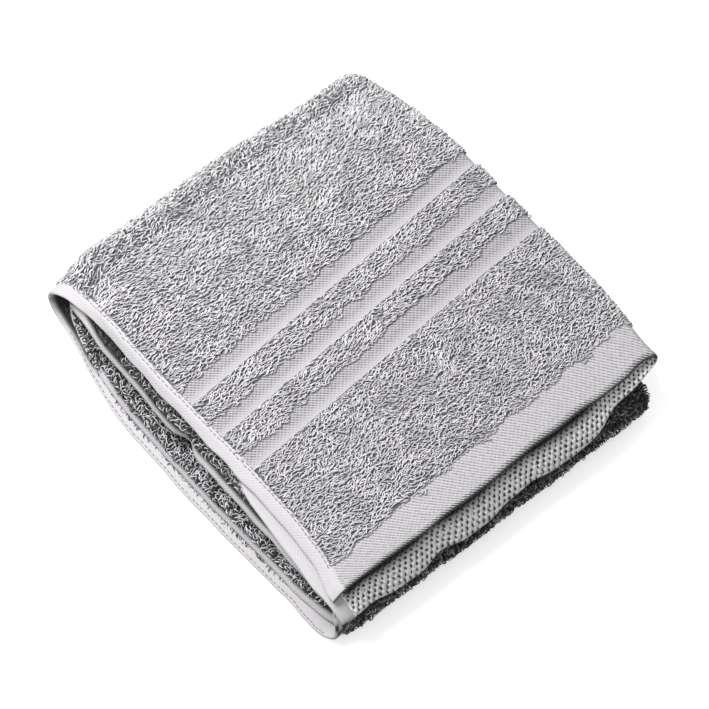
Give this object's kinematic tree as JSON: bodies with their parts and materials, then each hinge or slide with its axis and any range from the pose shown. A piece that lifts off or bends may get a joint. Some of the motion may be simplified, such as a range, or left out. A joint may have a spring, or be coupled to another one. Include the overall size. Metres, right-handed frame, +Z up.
{
  "type": "folded hand towel",
  "caption": "Terry hand towel folded to a square stack, with woven stripe bands near its end, plain hems on all edges and raised looped pile.",
  "frame": {"origin": "centre of the folded stack's footprint, on the surface it lies on", "axes": "+Z up through the layers, +X towards the edge with the end hems, +Y towards the lengthwise fold"},
  "size_m": [0.3012, 0.2708, 0.0523],
  "materials": {
    "terry_cloth": "matt looped cotton pile, silver grey"
  },
  "bodies": {
    "root": {"folded_towel": "terry_cloth"}
  },
  "joints": []
}
